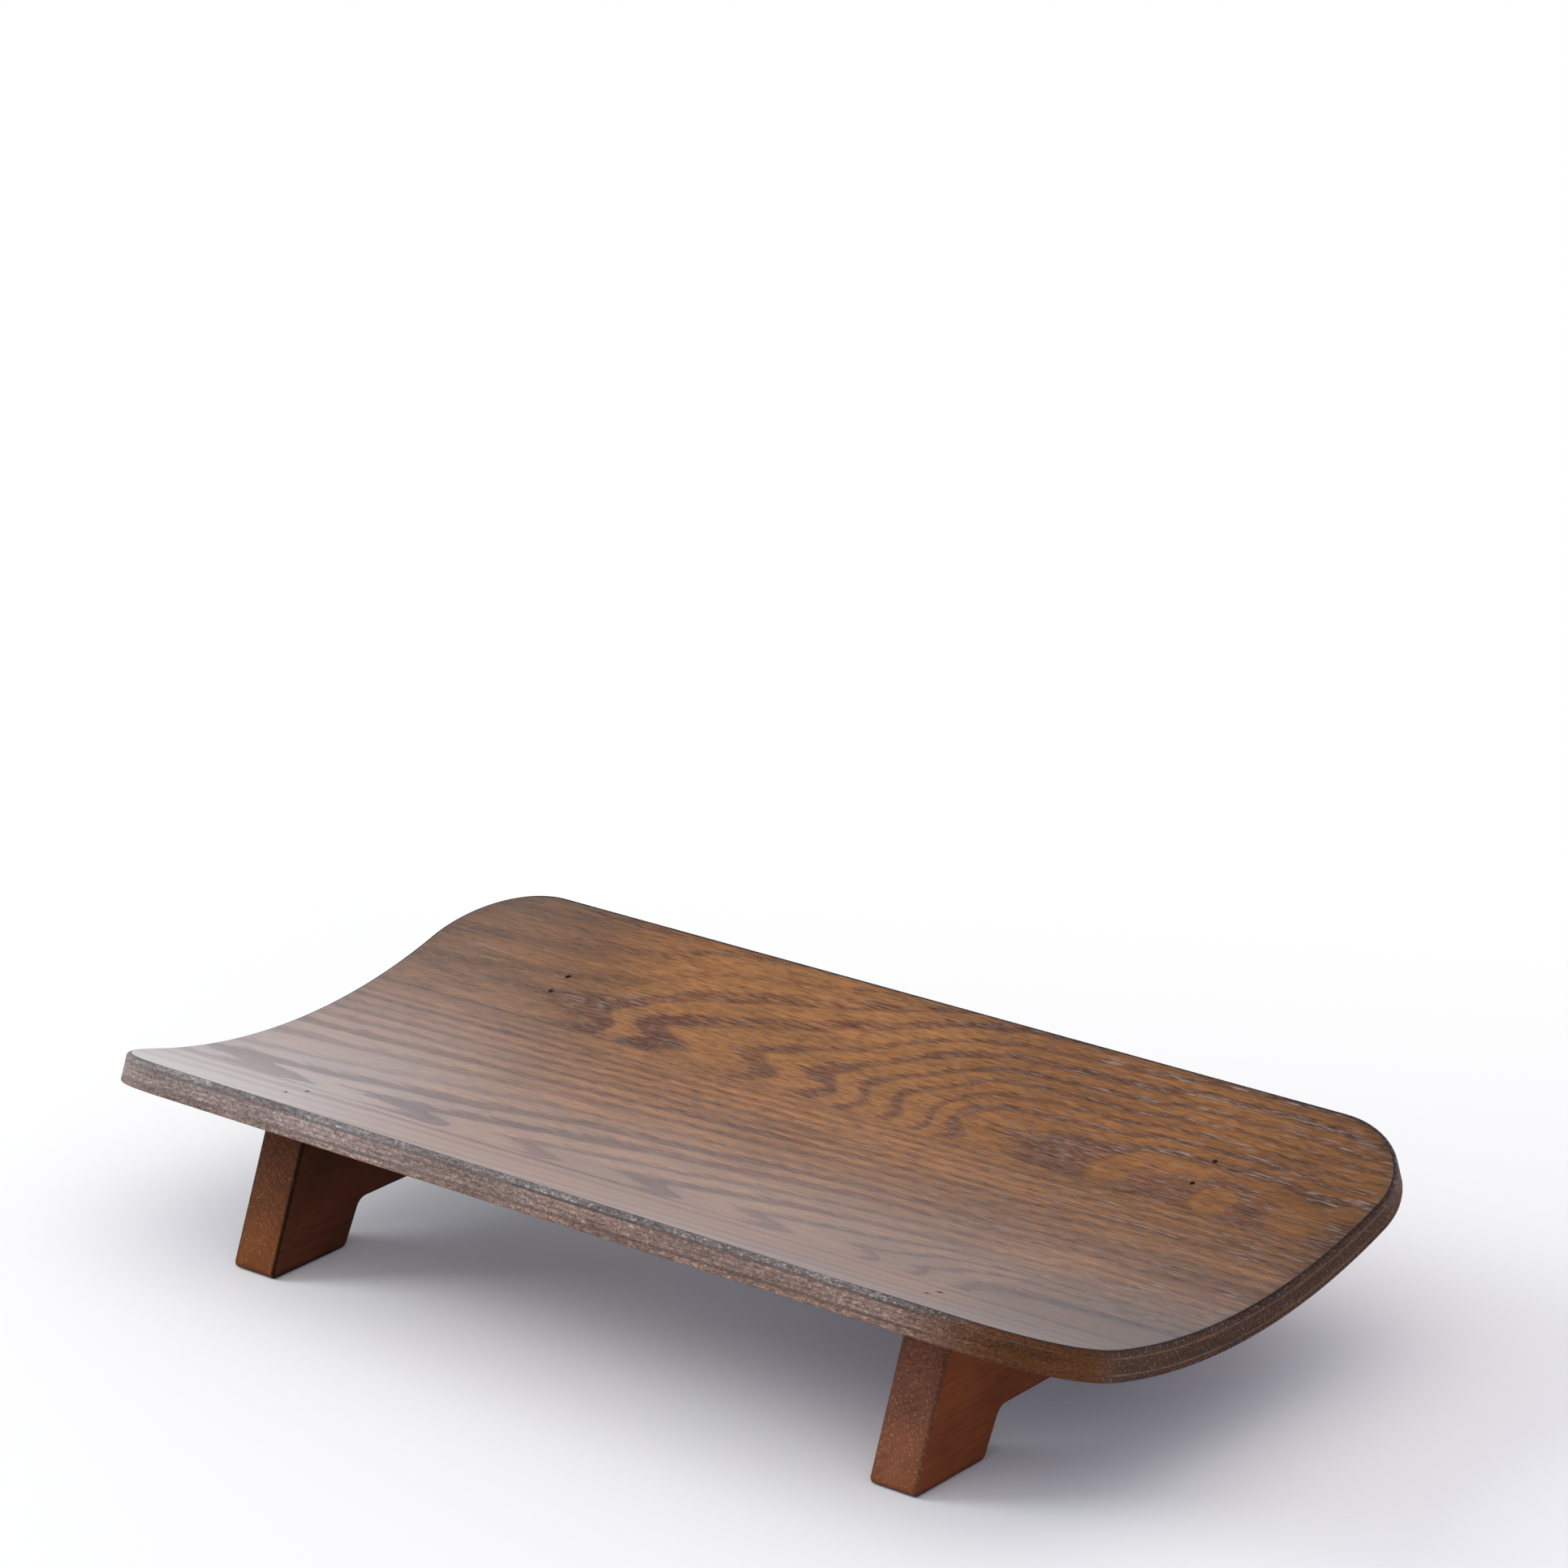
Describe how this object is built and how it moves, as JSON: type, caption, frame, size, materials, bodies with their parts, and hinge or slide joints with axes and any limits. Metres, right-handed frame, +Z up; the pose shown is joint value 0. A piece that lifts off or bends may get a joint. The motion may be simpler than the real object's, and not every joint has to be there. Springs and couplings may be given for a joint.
{
  "type": "footed tray",
  "caption": "Footed serving tray of bent plywood with raised long edges and rounded corners, carried on arched wooden foot rails.",
  "frame": {"origin": "on the table under the middle of the tray", "axes": "+X along the tray, +Y towards its back long edge, +Z up"},
  "size_m": [0.4, 0.2138, 0.0683],
  "materials": {
    "stained_ash_face": "satin, walnut stain over open grain",
    "crossband_veneer": "sanded edge under stain",
    "core_veneer": "sanded edge under stain",
    "stained_rail_wood": "satin, walnut stain",
    "brad_steel": "dark"
  },
  "bodies": {
    "root": {"top_face_ply": "stained_ash_face", "upper_crossband": "crossband_veneer", "upper_core_ply": "core_veneer", "middle_core_ply": "core_veneer", "lower_core_ply": "core_veneer", "lower_crossband": "crossband_veneer", "bottom_face_ply": "stained_ash_face", "left_foot_rail": "stained_rail_wood", "right_foot_rail": "stained_rail_wood", "brad_left_front_outer": "brad_steel", "brad_left_front_inner": "brad_steel", "brad_left_back_outer": "brad_steel", "brad_left_back_inner": "brad_steel", "brad_right_front_outer": "brad_steel", "brad_right_front_inner": "brad_steel", "brad_right_back_outer": "brad_steel", "brad_right_back_inner": "brad_steel"}
  },
  "joints": []
}
